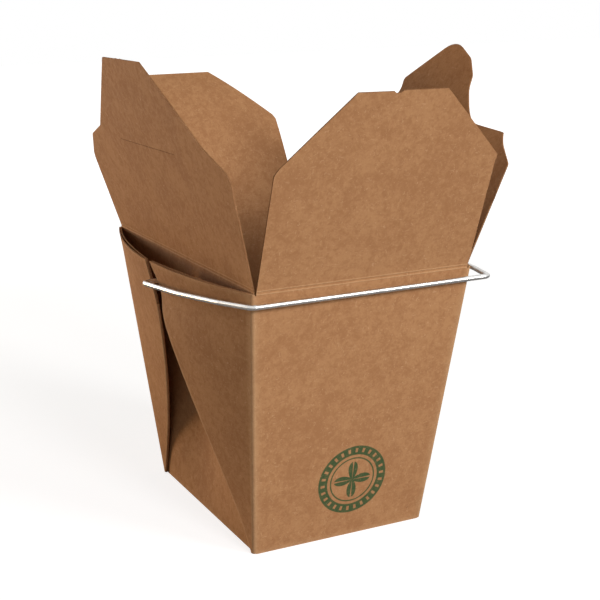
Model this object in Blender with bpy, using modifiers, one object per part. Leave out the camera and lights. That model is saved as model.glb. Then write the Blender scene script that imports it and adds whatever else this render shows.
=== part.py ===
"""Takeout food box: a paperboard pail folded from one sheet, with four top flaps
and a steel wire bail. Metres, +Z up, the front panel faces -Y, and the origin is
the middle of the foot, on the surface that the box stands on."""

import math

import bmesh
import bpy
from mathutils import Vector

MM = 0.001

# The pail, measured to the middle of the board
BASE_WIDTH = 64.6 * MM      # along X, at the foot
BASE_DEPTH = 88.0 * MM      # along Y, at the foot
RIM_WIDTH = 79.0 * MM       # along X, at the rim creases
RIM_DEPTH = 129.5 * MM      # along Y, at the rim creases
HEIGHT = 98.5 * MM          # foot to rim creases
BOARD = 0.46 * MM           # board thickness
CREASE_GAP = 0.5 * MM       # from a rim crease down to the cut edge of its panel
CREASE_STEP = 0.5 * MM      # the side flaps fold last, so their creases are this much higher

# The webs: each corner's spare board, folded double and laid over an end panel
PLY_GAP = 0.10 * MM         # air between two plies folded flat
FOLD_START = 1.2 * MM       # reach of the fold at the foot, where board can't end in a point
WEB_TIP_PARTING = 4.9 * MM  # from the middle of the depth to where the fold meets the cut edge
WEB_PARTING = 1.6 * MM      # from the middle of the depth to the top of the cut edge
WEB_BULGE = 11.3 * MM       # stand-off from the end panel at the middle of the rim
FRONT_BELLY = 0.75          # front webs spring out early on their way up
BACK_BELLY = -0.95          # back webs stay close and spring out near the rim
PLY_SPREAD = 1.3 * MM       # how far the two plies part at the rim
ARC_STEPS = 4               # divisions of a turn of the board, and of a ply's width
PLY_STEPS = 9

# The flaps: v runs from the crease outwards, half widths are along the crease
SIDE_CLEARANCE = 0.37 * MM  # flap edge to the faces of the neighbouring panels
FRONT_LEAN = 22.0           # degrees from upright, outwards
BACK_LEAN = 34.7
LEFT_LEAN = 15.4
RIGHT_LEAN = 28.0
FRONT_LENGTH = 66.9 * MM    # front and back flaps
FRONT_SHOULDER = 43.4 * MM
FRONT_TIP_HALF = 15.4 * MM
CORNER_FACET = 2.0 * MM     # small facet at each shoulder
SIDE_LENGTH = 71.6 * MM     # left flap
LEFT_SHOULDER = 37.3 * MM
RIGHT_SHOULDER = 35.4 * MM
SIDE_FLARE = 4.85 * MM      # side flaps' shoulders, past the corners of the rim
SIDE_TIP_HALF = 18.4 * MM
DIE_RADIUS = 0.8 * MM       # corners of a cutting die

# The lock: a round-ended tongue on the right flap, a slit for it in the left one
TONGUE_SHOULDER = 46.7 * MM     # v of the flap's edge beside the tongue
TONGUE_SHOULDER_IN = 12.0 * MM  # from the flap's widest point in to the corner of that edge
TONGUE_FOOT_HALF = 34.2 * MM    # where the neck's hollow curve starts
TONGUE_HALF = 23.0 * MM
TONGUE_NECK = 10.2 * MM         # height of the neck's hollow curve
TONGUE_SIDE = 61.2 * MM         # v where the tongue starts to narrow
TONGUE_TIP = 77.5 * MM
TONGUE_TIP_HALF = 7.4 * MM
TONGUE_SIDE_ROUND = 8.0 * MM    # radii of the tongue's corners, at its sides and tip
TONGUE_ROUND = 9.5 * MM
SLIT_AT = 40.5 * MM
SLIT_WIDTH = 1.2 * MM
SLIT_CLEARANCE = 3.4 * MM       # each end of the slit, past the tongue

# The bail
WIRE = 1.8 * MM
PIVOT_DROP = 8.3 * MM       # rim creases down to the pivots
HOLE_CLEARANCE = 0.35 * MM  # round the wire, in the end panels
ARM_CLEARANCE = 1.8 * MM    # webs to the arms, beside the pivots
BAIL_SHIFT = 2.4 * MM       # the bail has slid this far towards +X, and its hook stops it
BAR_CLEARANCE = 1.5 * MM    # bar to the outer edge of the rim, as it swings past
BAR_RISE = 4.2 * MM         # bar above the pivots
HOOK_CLEARANCE = 0.35 * MM  # hook's wire to the inner face of the end panel that stops it
HOOK_LENGTH = 4.2 * MM
WIRE_BEND = 2.6 * MM        # bend radius, middle of the wire
ARM_BENDS = (0.42, 0.76)    # shares of an arm's run where it turns round the webs' bow
ARM_ROUND = 30.0 * MM

KRAFT_OUTSIDE = (0.478, 0.291, 0.162)
KRAFT_INSIDE = (0.520, 0.325, 0.185)
STEEL = (0.74, 0.74, 0.72)


def half_width(z):
    return (BASE_WIDTH + (RIM_WIDTH - BASE_WIDTH) * z / HEIGHT) / 2


def half_depth(z):
    return (BASE_DEPTH + (RIM_DEPTH - BASE_DEPTH) * z / HEIGHT) / 2


PLY_PITCH = BOARD + PLY_GAP     # middle of one ply to the middle of the next
PIVOT_HEIGHT = HEIGHT - PIVOT_DROP
SIDE_SHOULDER_HALF = RIM_DEPTH / 2 + SIDE_FLARE


def clear_scene():
    for leftover in list(bpy.data.objects):
        bpy.data.objects.remove(leftover, do_unlink=True)


def make_collection(name):
    collection = bpy.data.collections.new(name)
    bpy.context.scene.collection.children.link(collection)
    return collection


def make_material(name, colour, roughness, metallic=0.0):
    material = bpy.data.materials.new(name)
    material.use_nodes = True
    shader = material.node_tree.nodes["Principled BSDF"]
    shader.inputs["Base Color"].default_value = (*colour, 1.0)
    shader.inputs["Roughness"].default_value = roughness
    shader.inputs["Metallic"].default_value = metallic
    material.diffuse_color = (*colour, 1.0)
    return material


def add_object(name, data, collection, material=None):
    thing = bpy.data.objects.new(name, data)
    collection.objects.link(thing)
    if material:
        data.materials.append(material)
    return thing


def rounded(points, radii, closed=True, steps=5):
    """The polyline with each corner turned into an arc of its own radius."""
    result = []
    count = len(points)
    for i, (corner, radius) in enumerate(zip(points, radii)):
        corner = Vector(corner)
        at_end = not closed and i in (0, count - 1)
        if radius == 0 or at_end:
            result.append(corner)
            continue
        back = (Vector(points[i - 1]) - corner).normalized()
        on = (Vector(points[(i + 1) % count]) - corner).normalized()
        half_angle = back.angle(on) / 2
        centre = corner + (back + on).normalized() * (radius / math.sin(half_angle))
        start = (corner + back * (radius / math.tan(half_angle)) - centre).normalized()
        finish = (corner + on * (radius / math.tan(half_angle)) - centre).normalized()
        for step in range(steps + 1):
            result.append(centre + radius * start.slerp(finish, step / steps))
    return result


# ---- the pail

def web_bow(z, belly):
    """Stand-off of a web from its end panel, at the middle of the depth."""
    share = z / HEIGHT
    return WEB_BULGE * share * (1 + belly * (1 - share))


def fold_angle():
    """Angle between a corner and its web's fold, which halves the blank's spare angle."""
    rise_front = math.hypot(HEIGHT, (RIM_DEPTH - BASE_DEPTH) / 2)
    rise_end = math.hypot(HEIGHT, (RIM_WIDTH - BASE_WIDTH) / 2)
    taper_front = math.atan((RIM_WIDTH - BASE_WIDTH) / 2 / rise_front)
    taper_end = math.atan((RIM_DEPTH - BASE_DEPTH) / 2 / rise_end)
    return (math.pi / 2 - taper_front - taper_end) / 2, taper_end


def fold_slope():
    """How fast a flat web's fold runs away from its corner along Y, for each unit of height."""
    angle, taper_end = fold_angle()
    slant = math.hypot(HEIGHT, (RIM_WIDTH - BASE_WIDTH) / 2) / HEIGHT
    return slant * (math.tan(angle - taper_end) + math.tan(taper_end))


def web_tip():
    """Height where a web's fold ends and its cut edge starts."""
    closing = fold_slope() - (RIM_DEPTH - BASE_DEPTH) / 2 / HEIGHT
    return (BASE_DEPTH / 2 - FOLD_START - WEB_TIP_PARTING) / closing


def web_reach(z, belly):
    """Distance along Y from a corner to the edge of its web, at one height."""
    depth = half_depth(z)
    flat = FOLD_START + z * fold_slope()
    slope = 2 * web_bow(z, belly) / depth
    taken_by_bow = slope ** 2 * depth / 6 * (1 - max(0.0, 1 - flat / depth) ** 3)
    return flat - taken_by_bow


def edge_of_web(z, belly):
    """Distance from the middle of the depth to the web's free edge."""
    tip = web_tip()
    if z <= tip:
        return half_depth(z) - web_reach(z, belly)
    at_tip = half_depth(tip) - web_reach(tip, belly)
    share = (z - tip) / (HEIGHT - tip)
    return at_tip + (WEB_PARTING - at_tip) * share


def corner_section(z, belly):
    """Middle line of the board round the left front corner, at one height.

    The board comes along the front panel, turns back over the end panel as the
    outer ply, turns at the free fold, returns under it as the inner ply, and
    turns once more into the end panel."""
    side, depth = half_width(z), half_depth(z)
    bend = PLY_PITCH / 2
    seat = depth - 1.5 * PLY_PITCH              # where the inner ply turns into the end panel
    edge = edge_of_web(z, belly)
    bow = web_bow(z, belly)
    parting = PLY_SPREAD * (z / HEIGHT) ** 2

    def stand_off(y):
        return bow * (1 - min(1.0, y / seat) ** 2)

    def inner_gap(y):
        along = (seat - y) / (seat - edge)
        return parting * 4 * along * (1 - along) * max(0.0, along)

    points = [(0.0, -depth), (-side, -depth)]
    outer = -side - 2 * PLY_PITCH
    for i in range(ARC_STEPS + 1):
        turn = math.pi / 2 * i / ARC_STEPS
        points.append((outer + bend - bend * math.sin(turn), -depth + bend - bend * math.cos(turn)))
    start = depth - bend
    for i in range(1, PLY_STEPS + 1):
        y = start + (edge - start) * i / PLY_STEPS
        points.append((outer - stand_off(y), -y))
    fold_from = len(points) - 1
    mid = outer + bend - stand_off(edge)
    for i in range(1, ARC_STEPS):
        turn = math.pi * i / ARC_STEPS
        points.append((mid - bend * math.cos(turn), -edge + bend * math.sin(turn)))
    fold_to = len(points)
    inner = -side - PLY_PITCH
    for i in range(PLY_STEPS + 1):
        y = edge + (seat - edge) * i / PLY_STEPS
        points.append((inner - stand_off(y) + inner_gap(y), -y))
    for i in range(1, ARC_STEPS + 1):
        turn = math.pi * i / ARC_STEPS
        points.append((-side - bend - bend * math.cos(turn), -seat - bend * math.sin(turn)))
    return points, fold_from, fold_to


def section_heights():
    below, above = 11, 3
    foot, tip, top = BOARD / 2, web_tip(), HEIGHT - CREASE_GAP
    rows = [foot + (tip - foot) * i / below for i in range(below + 1)]
    return rows + [tip + (top - tip) * i / above for i in range(1, above + 1)], below


def build_half_pail():
    """The left half of the folded sheet as an open surface."""
    mesh = bmesh.new()
    heights, tip_row = section_heights()
    rows = []
    for row, z in enumerate(heights):
        front, fold_from, fold_to = corner_section(z, FRONT_BELLY)
        back = [(x, -y) for x, y in corner_section(z, BACK_BELLY)[0]]
        path = front + back[::-1]
        folds = [(fold_from, fold_to), (len(path) - 1 - fold_to, len(path) - 1 - fold_from)]
        in_fold = {i for a, b in folds for i in range(a + 1, b)}
        step_up = CREASE_STEP if row == len(heights) - 1 else 0.0
        rows.append([None if row > tip_row and i in in_fold
                     else mesh.verts.new((x, y, z + (step_up if 1 < i < len(path) - 2 else 0.0)))
                     for i, (x, y) in enumerate(path)])
    for row in range(len(rows) - 1):
        for i in range(len(path) - 1):
            if row >= tip_row and any(a <= i < b for a, b in folds):
                continue
            mesh.faces.new((rows[row][i], rows[row][i + 1], rows[row + 1][i + 1], rows[row + 1][i]))
    seat = len(front) - 1
    last = len(path) - 1
    mesh.faces.new([rows[0][i] for i in (0, 1, seat, seat + 1, last - 1, last)])
    bmesh.ops.recalc_face_normals(mesh, faces=mesh.faces)
    data = bpy.data.meshes.new("pail_body")
    mesh.to_mesh(data)
    mesh.free()
    return data


def add_pail(parts, cutters, material):
    pail = add_object("pail_body", build_half_pail(), parts, material)
    mirror = pail.modifiers.new("Mirror", "MIRROR")
    mirror.merge_threshold = 0.00001
    solid = pail.modifiers.new("Board", "SOLIDIFY")
    solid.thickness = BOARD
    solid.offset = 0.0
    solid.use_even_offset = True
    drill_mesh = bmesh.new()
    bmesh.ops.create_cone(drill_mesh, cap_ends=True, segments=24, depth=RIM_WIDTH * 1.2,
                          radius1=WIRE / 2 + HOLE_CLEARANCE, radius2=WIRE / 2 + HOLE_CLEARANCE)
    data = bpy.data.meshes.new("wire_holes")
    drill_mesh.to_mesh(data)
    drill_mesh.free()
    drill = add_object("wire_holes", data, cutters)
    drill.rotation_euler = (0.0, math.pi / 2, 0.0)
    drill.location = (0.0, 0.0, PIVOT_HEIGHT)
    drill.hide_render = True
    drill.display_type = "WIRE"
    holes = pail.modifiers.new("Wire holes", "BOOLEAN")
    holes.object = drill
    holes.operation = "DIFFERENCE"
    return pail


# ---- the flaps

def mirrored(half, radii):
    """A closed outline from its right half, listed from the crease to the tip."""
    left = [(-x, v) for x, v in half[::-1]]
    return half + left, radii + radii[::-1]


def flap_mesh(name, outline, slit=None):
    """The board inside an outline. The curve is in millimetres, as filling needs."""
    curve = bpy.data.curves.new(name, "CURVE")
    curve.dimensions = "2D"
    curve.fill_mode = "BOTH"
    curve.extrude = BOARD / 2 / MM
    for loop in [outline] + ([slit] if slit else []):
        spline = curve.splines.new("POLY")
        spline.points.add(len(loop) - 1)
        for point, place in zip(spline.points, loop):
            point.co = (place[0] / MM, place[1] / MM, 0.0, 1.0)
        spline.use_cyclic_u = True
    helper = bpy.data.objects.new(name + "_outline", curve)
    bpy.context.scene.collection.objects.link(helper)
    bpy.context.view_layer.update()
    evaluated = helper.evaluated_get(bpy.context.evaluated_depsgraph_get())
    data = bpy.data.meshes.new_from_object(evaluated)
    bpy.data.objects.remove(helper, do_unlink=True)
    mesh = bmesh.new()
    mesh.from_mesh(data)
    bmesh.ops.scale(mesh, vec=(MM, MM, MM), verts=mesh.verts)
    bmesh.ops.remove_doubles(mesh, verts=mesh.verts, dist=0.000001)
    return mesh, data


def add_flap(name, parts, material, mesh, data, crease, turn, lean):
    """Hangs a flap on its crease: turn is about Z, lean is outwards from upright."""
    mesh.to_mesh(data)
    mesh.free()
    flap = add_object(name, data, parts, material)
    flap.location = crease
    flap.rotation_euler = (math.radians(90 - lean), 0.0, math.radians(turn))
    return flap


def end_flap_outline():
    """Front and back flaps: upright sides, a facet at each shoulder, a chamfer to the tip."""
    half = RIM_WIDTH / 2 - BOARD / 2 - SIDE_CLEARANCE
    points = [(half, 0.0), (half, FRONT_SHOULDER - CORNER_FACET),
              (half - CORNER_FACET * 0.7, FRONT_SHOULDER), (FRONT_TIP_HALF, FRONT_LENGTH)]
    outline, radii = mirrored(points, [0.0] + [DIE_RADIUS] * 3)
    return rounded(outline, radii)


def side_flap_base(shoulder):
    half = RIM_DEPTH / 2 - BOARD / 2 - SIDE_CLEARANCE
    return [(half, 0.0), (SIDE_SHOULDER_HALF, shoulder)], [0.0, 2.5 * DIE_RADIUS]


def left_flap_outline():
    base, radii = side_flap_base(LEFT_SHOULDER)
    points = base + [(SIDE_SHOULDER_HALF - 4.3 * MM, LEFT_SHOULDER + 3.6 * MM),
                     (SIDE_SHOULDER_HALF - 14.6 * MM, LEFT_SHOULDER + 8.3 * MM),
                     (SIDE_TIP_HALF, SIDE_LENGTH)]
    outline, radii = mirrored(points, radii + [3 * DIE_RADIUS, 9 * DIE_RADIUS, 1.5 * DIE_RADIUS])
    return rounded(outline, radii)


def right_flap_outline():
    base, radii = side_flap_base(RIGHT_SHOULDER)
    points = base + [(SIDE_SHOULDER_HALF - TONGUE_SHOULDER_IN, TONGUE_SHOULDER),
                     (TONGUE_FOOT_HALF, TONGUE_SHOULDER + DIE_RADIUS),
                     (TONGUE_HALF, TONGUE_SHOULDER + TONGUE_NECK),
                     (TONGUE_HALF, TONGUE_SIDE),
                     (TONGUE_TIP_HALF, TONGUE_TIP)]
    radii = radii + [4 * DIE_RADIUS, 0.9 * TONGUE_NECK, 0.4 * TONGUE_NECK, TONGUE_SIDE_ROUND, TONGUE_ROUND]
    outline, radii = mirrored(points, radii)
    return rounded(outline, radii)


def slit_outline():
    half = TONGUE_HALF + SLIT_CLEARANCE
    low, high = SLIT_AT - SLIT_WIDTH / 2, SLIT_AT + SLIT_WIDTH / 2
    corners = [(half, low), (half, high), (-half, high), (-half, low)]
    return rounded(corners, [SLIT_WIDTH * 0.48] * 4, steps=3)


def add_flaps(parts, material):
    side, depth = RIM_WIDTH / 2, RIM_DEPTH / 2
    mesh, data = flap_mesh("front_flap", end_flap_outline())
    add_flap("front_flap", parts, material, mesh, data, (0, -depth, HEIGHT), 180, FRONT_LEAN)
    mesh, data = flap_mesh("back_flap", end_flap_outline())
    add_flap("back_flap", parts, material, mesh, data, (0, depth, HEIGHT), 0, BACK_LEAN)
    mesh, data = flap_mesh("left_flap", left_flap_outline(), slit_outline())
    add_flap("left_flap", parts, material, mesh, data, (-side, 0, HEIGHT + CREASE_STEP), 90, LEFT_LEAN)
    mesh, data = flap_mesh("right_flap", right_flap_outline())
    add_flap("right_flap", parts, material, mesh, data, (side, 0, HEIGHT + CREASE_STEP), 270, RIGHT_LEAN)


# ---- the bail

def bail_radius():
    """Pivot to bar: the bar just clears the outer edge of the rim as it swings past."""
    rim = math.hypot(RIM_DEPTH / 2, HEIGHT - PIVOT_HEIGHT)
    return rim + BOARD / 2 + BAR_CLEARANCE / 2 + WIRE / 2


def bail_path():
    """The wire's middle line about its pivot axis: hook, leg, bowed arm, bar, and back."""
    bar_y = -math.sqrt(bail_radius() ** 2 - BAR_RISE ** 2)
    hook_foot = half_width(PIVOT_HEIGHT - HOOK_LENGTH - WIRE / 2)
    hook_x = hook_foot - BOARD / 2 - HOOK_CLEARANCE - BAIL_SHIFT - WIRE / 2
    outside = 2 * PLY_PITCH + BOARD / 2 + WIRE / 2 + BAIL_SHIFT
    bow = web_bow(PIVOT_HEIGHT, FRONT_BELLY)
    pivot_at = Vector((-half_width(PIVOT_HEIGHT) - outside - bow - ARM_CLEARANCE, 0.0, 0.0))
    bar_at = Vector((-half_width(PIVOT_HEIGHT + BAR_RISE) - outside, bar_y, BAR_RISE))
    arm = [pivot_at.lerp(bar_at, share) - Vector((bow * share * (1 - share), 0, 0))
           for share in ARM_BENDS]
    left = [Vector((-hook_x, 0.0, -HOOK_LENGTH)), Vector((-hook_x, 0.0, 0.0)), pivot_at, *arm, bar_at]
    right = [Vector((-p.x, p.y, p.z)) for p in left[::-1]]
    radii = [0.0, WIRE_BEND / 1.6, WIRE_BEND, ARM_ROUND, ARM_ROUND, WIRE_BEND]
    return rounded(left + right, radii + radii[::-1], closed=False, steps=4)


def add_bail(parts, material):
    curve = bpy.data.curves.new("wire_handle", "CURVE")
    curve.dimensions = "3D"
    curve.bevel_depth = WIRE / 2
    curve.bevel_resolution = 2
    curve.use_fill_caps = True
    path = bail_path()
    spline = curve.splines.new("POLY")
    spline.points.add(len(path) - 1)
    for point, place in zip(spline.points, path):
        point.co = (*place, 1.0)
    bail = add_object("wire_handle", curve, parts, material)
    bail.location = (BAIL_SHIFT, 0.0, PIVOT_HEIGHT)
    return bail


def main():
    clear_scene()
    parts = make_collection("takeout_food_box")
    cutters = make_collection("cutters")
    outside = make_material("kraft board", KRAFT_OUTSIDE, 0.85)
    flap_board = make_material("kraft board, flaps", KRAFT_INSIDE, 0.85)
    steel = make_material("bright steel wire", STEEL, 0.3, 1.0)
    add_pail(parts, cutters, outside)
    add_flaps(parts, flap_board)
    add_bail(parts, steel)


main()
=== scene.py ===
import math

import bmesh
import bpy
from mathutils import Matrix, Vector, noise
from mathutils.geometry import delaunay_2d_cdt


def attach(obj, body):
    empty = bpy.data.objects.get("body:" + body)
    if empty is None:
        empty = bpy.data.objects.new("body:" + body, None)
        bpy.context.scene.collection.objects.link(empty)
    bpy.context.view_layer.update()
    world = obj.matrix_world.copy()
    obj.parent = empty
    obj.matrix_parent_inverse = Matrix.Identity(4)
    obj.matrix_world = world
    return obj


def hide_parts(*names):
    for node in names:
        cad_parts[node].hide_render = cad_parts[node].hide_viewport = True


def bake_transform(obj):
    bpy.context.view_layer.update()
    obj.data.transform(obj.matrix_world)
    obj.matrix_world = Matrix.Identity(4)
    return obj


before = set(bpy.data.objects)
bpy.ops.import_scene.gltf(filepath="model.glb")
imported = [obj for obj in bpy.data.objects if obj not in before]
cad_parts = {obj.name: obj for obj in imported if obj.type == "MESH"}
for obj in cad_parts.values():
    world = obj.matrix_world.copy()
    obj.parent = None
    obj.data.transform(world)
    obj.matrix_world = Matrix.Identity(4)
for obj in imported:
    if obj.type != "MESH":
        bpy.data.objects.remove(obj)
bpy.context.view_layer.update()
scene = bpy.context.scene
mm = 0.001


def newNode(tree, kind, **settings):
    node = tree.nodes.new(kind)
    for name, value in settings.items():
        setattr(node, name, value)
    return node


# links a socket, or sets its plain value
def feed(tree, socket, source):
    if isinstance(source, bpy.types.NodeSocket):
        tree.links.new(source, socket)
    else:
        socket.default_value = source


def doMath(tree, operation, first, second=None, third=None, clamp=False):
    node = newNode(tree, "ShaderNodeMath", operation=operation, use_clamp=clamp)
    for socket, source in zip(node.inputs, (first, second, third)):
        if source is not None:
            feed(tree, socket, source)
    return node.outputs[0]


def doVector(tree, operation, first, second=None, scale=None):
    node = newNode(tree, "ShaderNodeVectorMath", operation=operation)
    feed(tree, node.inputs[0], first)
    if second is not None:
        feed(tree, node.inputs[1], second)
    if scale is not None:
        feed(tree, node.inputs["Scale"], scale)
    return node.outputs["Value"] if operation == "LENGTH" else node.outputs[0]


def spread(tree, value, low, high, outLow=0.0, outHigh=1.0, smooth=True):
    node = newNode(tree, "ShaderNodeMapRange", interpolation_type="SMOOTHSTEP" if smooth else "LINEAR")
    for name, source in (("Value", value), ("From Min", low), ("From Max", high),
                         ("To Min", outLow), ("To Max", outHigh)):
        feed(tree, node.inputs[name], source)
    return node.outputs["Result"]


# the colour sockets of a Mix node come after its plain and vector ones
def mixColour(tree, factor, first, second):
    node = newNode(tree, "ShaderNodeMix", data_type="RGBA")
    for key, source in (("Factor", factor), (6, first), (7, second)):
        feed(tree, node.inputs[key], source)
    return node.outputs[2]


def noiseAt(tree, vector, scale, detail=2.0, roughness=0.5, distortion=0.0, seed=0.0):
    node = newNode(tree, "ShaderNodeTexNoise", noise_dimensions="4D")
    feed(tree, node.inputs["Vector"], vector)
    for name, value in (("W", seed), ("Scale", scale), ("Detail", detail),
                        ("Roughness", roughness), ("Distortion", distortion)):
        node.inputs[name].default_value = value
    return node.outputs["Fac"]


# an sRGB colour, 0 to 255, as linear values
def shade(red, green, blue):
    def linear(value):
        value /= 255
        return value / 12.92 if value <= 0.04045 else ((value + 0.055) / 1.055) ** 2.4
    return (linear(red), linear(green), linear(blue), 1.0)


def startGroup(name, inputs, outputs, kind="ShaderNodeTree"):
    tree = bpy.data.node_groups.new(name, kind)
    for label, socketType, value in inputs:
        socket = tree.interface.new_socket(name=label, in_out="INPUT", socket_type=socketType)
        if value is not None:
            socket.default_value = value
    for label, socketType in outputs:
        tree.interface.new_socket(name=label, in_out="OUTPUT", socket_type=socketType)
    return tree, tree.nodes.new("NodeGroupInput"), tree.nodes.new("NodeGroupOutput")


def startMaterial(name):
    material = bpy.data.materials.new(name)
    material.use_nodes = True
    tree = material.node_tree
    return material, tree, tree.nodes["Principled BSDF"]


def addPiece(name, mesh):
    piece = bpy.data.objects.new(name, mesh)
    scene.collection.objects.link(piece)
    return piece


# turns a piece with live modifiers or nodes into a plain mesh piece of the same name
def settle(piece):
    bpy.context.view_layer.update()
    graph = bpy.context.evaluated_depsgraph_get()
    mesh = bpy.data.meshes.new_from_object(piece.evaluated_get(graph), depsgraph=graph)
    name = piece.name
    matrix = piece.matrix_world.copy()
    bpy.data.objects.remove(piece, do_unlink=True)
    mesh.transform(matrix)
    mesh.name = name
    return addPiece(name, mesh)


def smoothShade(piece, degrees):
    piece.data.shade_smooth()
    piece.data.set_sharp_from_angle(angle=math.radians(degrees))


kraft = {
    "light": shade(186, 139, 97),
    "dark": shade(160, 112, 75),
    "fibre": shade(209, 170, 130),
    "speck": shade(122, 80, 50),
    "worn": shade(203, 163, 122),   # scored and folded places and rims: rubbed surface, and a painted highlight along folds and score beads
    "mottle": 0.58,
    "fibres": 0.40,
    "specks": 0.35,
    "wearAndHighlight": 0.75,
    "tooth": 0.07,
    "toothDepth": 0.1 * mm,
    "toothScale": 3.2,      # waves in a millimetre, as are the other scales
    "cloudScale": 0.07,
    "patchScale": 0.42,
    "fineScale": 1.3,
    "toneRange": (1.04, 1.56),
    "strandScale": 1.5,
    "strandStretch": ((0.30, 1.1, 1.1), (1.1, 1.1, 0.30), (0.8, 0.35, 0.55)),
    "strandEdge": (0.66, 0.76),
    "speckScale": 1.1,
    "speckEdge": (0.66, 0.76),
    "roughness": (0.80, 0.70),
    "sheen": 0.12,
}


def kraftGrainGroup():
    tree, given, result = startGroup(
        "kraftGrain",
        [("Vector", "NodeSocketVector", None), ("Light", "NodeSocketColor", kraft["light"]),
         ("Dark", "NodeSocketColor", kraft["dark"]), ("Fibre", "NodeSocketColor", kraft["fibre"]),
         ("Speck", "NodeSocketColor", kraft["speck"]), ("Mottle", "NodeSocketFloat", 0.5),
         ("Fibres", "NodeSocketFloat", 0.5), ("Specks", "NodeSocketFloat", 0.5)],
        [("Color", "NodeSocketColor"), ("Roughness", "NodeSocketFloat"), ("Height", "NodeSocketFloat")])
    point = doVector(tree, "SCALE", given.outputs["Vector"], scale=1000.0)  # millimetres
    cloud = noiseAt(tree, point, kraft["cloudScale"], 3.0, 0.6, 0.4, 1.0)   # broad patches
    patch = noiseAt(tree, point, kraft["patchScale"], 2.0, 0.6, 0.7, 7.0)
    fine = noiseAt(tree, point, kraft["fineScale"], 2.0, 0.6, 0.4, 3.0)
    tone = doMath(tree, "MULTIPLY_ADD", cloud, 0.9, doMath(tree, "MULTIPLY_ADD", patch, 1.0,
                  doMath(tree, "MULTIPLY", fine, 0.7)))
    tone = spread(tree, tone, *kraft["toneRange"])
    tone = doMath(tree, "MULTIPLY_ADD", doMath(tree, "SUBTRACT", tone, 0.5), given.outputs["Mottle"], 0.5)
    colour = mixColour(tree, tone, given.outputs["Dark"], given.outputs["Light"])
    fibre = None
    for seed, stretch in zip((11.0, 17.0, 23.0), kraft["strandStretch"]):
        lengthwise = doVector(tree, "MULTIPLY", point, stretch)
        strand = noiseAt(tree, lengthwise, kraft["strandScale"], 1.0, 0.5, 1.2, seed)
        strand = spread(tree, strand, *kraft["strandEdge"])
        fibre = strand if fibre is None else doMath(tree, "MAXIMUM", fibre, strand)
    fibreMask = doMath(tree, "MULTIPLY", fibre, given.outputs["Fibres"])
    colour = mixColour(tree, fibreMask, colour, given.outputs["Fibre"])
    speck = noiseAt(tree, point, kraft["speckScale"], 2.0, 0.5, 0.8, 41.0)
    speck = spread(tree, speck, *kraft["speckEdge"])
    colour = mixColour(tree, doMath(tree, "MULTIPLY", speck, given.outputs["Specks"]),
                       colour, given.outputs["Speck"])
    tooth = noiseAt(tree, point, kraft["toothScale"], 3.0, 0.6, 0.0, 51.0)
    height = doMath(tree, "MULTIPLY_ADD", fibre, 0.35, doMath(tree, "MULTIPLY_ADD", patch, 0.5, tooth))
    roughness = spread(tree, patch, 0.3, 0.7, *kraft["roughness"])
    for label, source in (("Color", colour), ("Roughness", roughness), ("Height", height)):
        feed(tree, result.inputs[label], source)
    return tree


kraftGrain = kraftGrainGroup()


def kraftMaterial(name, tints, addPrint=None):
    material, tree, shader = startMaterial(name)
    place = newNode(tree, "ShaderNodeTexCoord")
    grain = newNode(tree, "ShaderNodeGroup", node_tree=kraftGrain)
    feed(tree, grain.inputs["Vector"], place.outputs["Object"])
    for label, key in (("Light", "light"), ("Dark", "dark"), ("Fibre", "fibre"), ("Speck", "speck"),
                       ("Mottle", "mottle"), ("Fibres", "fibres"), ("Specks", "specks")):
        grain.inputs[label].default_value = tints.get(key, kraft[key])
    # lighter at folds, score beads and rims: rubbed board plus a painted highlight there
    rubbedAndHighlit = newNode(tree, "ShaderNodeAttribute", attribute_name="wearAndHighlight").outputs["Fac"]
    broken = spread(tree, grain.outputs["Height"], 0.55, 1.05, 0.6, 1.0)
    broken = doMath(tree, "MULTIPLY", broken, tints.get("wearAndHighlight", kraft["wearAndHighlight"]))
    rubbedAndHighlit = doMath(tree, "MULTIPLY", rubbedAndHighlit, broken)
    colour = mixColour(tree, rubbedAndHighlit, grain.outputs["Color"], kraft["worn"])
    if addPrint:
        colour = addPrint(tree, place, grain, colour)
    feed(tree, shader.inputs["Base Color"], colour)
    feed(tree, shader.inputs["Roughness"], grain.outputs["Roughness"])
    bump = newNode(tree, "ShaderNodeBump")
    bump.inputs["Strength"].default_value = tints.get("tooth", kraft["tooth"])
    bump.inputs["Distance"].default_value = kraft["toothDepth"]
    feed(tree, bump.inputs["Height"], grain.outputs["Height"])
    feed(tree, shader.inputs["Normal"], bump.outputs["Normal"])
    shader.inputs["Specular IOR Level"].default_value = kraft["sheen"]
    return material


badge = {
    "middle": (3.0 * mm, 22.5 * mm),  # on the front panel, along X and Z
    "radius": 13.3 * mm,
    "ringInside": 0.74,     # this and the next three are shares of the radius
    "rayBand": (0.81, 0.93),
    "line": (0.62, 0.66),
    "soft": 0.012,
    "rays": 26,
    "rayEdge": (0.35, 0.60),
    "leafWidth": 1.5,       # higher is narrower
    "leafReach": 0.44,
    "leafEye": 0.10,
    "vein": (0.05, 0.10),
    "ink": shade(44, 82, 52),
    "cover": 0.94,
    "thinned": 0.72,        # share of the ink left on the board's high spots
}


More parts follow.
